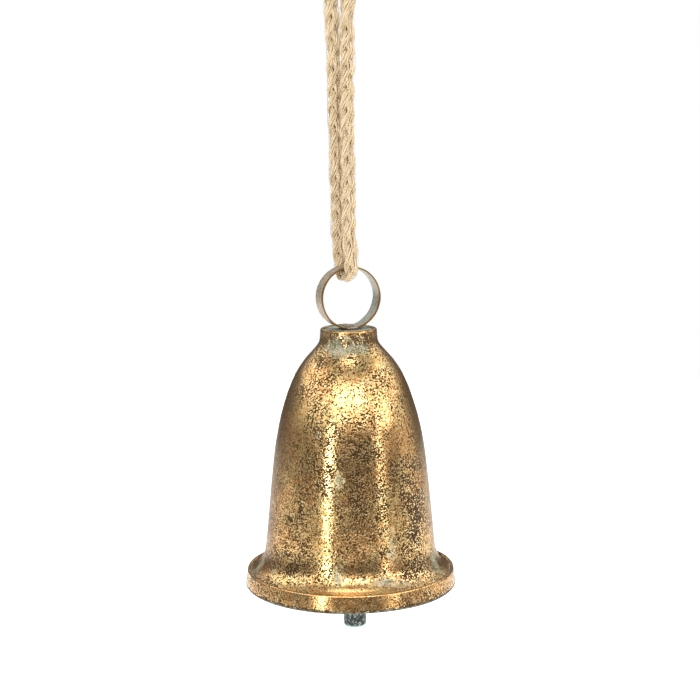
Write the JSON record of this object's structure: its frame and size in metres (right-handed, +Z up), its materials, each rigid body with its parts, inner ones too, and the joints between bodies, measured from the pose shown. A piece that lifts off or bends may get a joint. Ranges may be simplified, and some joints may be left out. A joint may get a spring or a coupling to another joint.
{
  "type": "hanging bell",
  "caption": "Hanging metal bell with a banded, flared mouth, a strip ring at its crown and a free clapper, on a knotted loop of plaited jute rope.",
  "frame": {"origin": "the hanging point: the crotch of the rope loop, just under its knot, where a hook or nail bears; the bell hangs plumb below it", "axes": "+Z is up, along the bell's axis; +Y runs from front to back through the hanging ring; +X is to the right"},
  "size_m": [0.14, 0.14, 0.5014],
  "materials": {
    "antique_gold": "antiqued gold leaf, speckled dark brown, with verdigris patches",
    "verdigris": "grey-green patina",
    "ring_metal": "grey-rose patina with gold rubbed edges",
    "dark_iron": "dark, lightly oxidised",
    "clapper_iron": "dark grey-green patina",
    "jute": "raw plaited jute"
  },
  "bodies": {
    "rope": {"rope_loop": "jute", "rope_knot": "jute", "rope_tail_left": "jute", "rope_tail_right": "jute"},
    "bell": {"bell_shell": "antique_gold", "lip_band": "antique_gold", "crown_disc": "verdigris", "backing_washer": "dark_iron", "hanging_ring": "ring_metal", "ring_weld_front": "ring_metal", "ring_weld_back": "ring_metal", "eye_rivet": "dark_iron"},
    "link": {"clapper_link": "dark_iron"},
    "clapper": {"clapper_rod": "dark_iron", "clapper_weight": "clapper_iron"}
  },
  "joints": [
    {"name": "bell_swing", "type": "hinge", "parent": "rope", "child": "bell", "pos_m": [-0.0016, 0, -0.20258], "axis": [0, 1, 0], "range_deg": [-75, 75]},
    {"name": "clapper_swing", "type": "hinge", "parent": "bell", "child": "link", "pos_m": [0, 0, -0.2493], "axis": [0, 1, 0], "range_deg": [-17.5, 19]},
    {"name": "clapper_rock", "type": "hinge", "parent": "link", "child": "clapper", "pos_m": [0.00024, -0.0001, -0.268], "axis": [1, 0, 0], "range_deg": [-3.5, 3.5]}
  ]
}
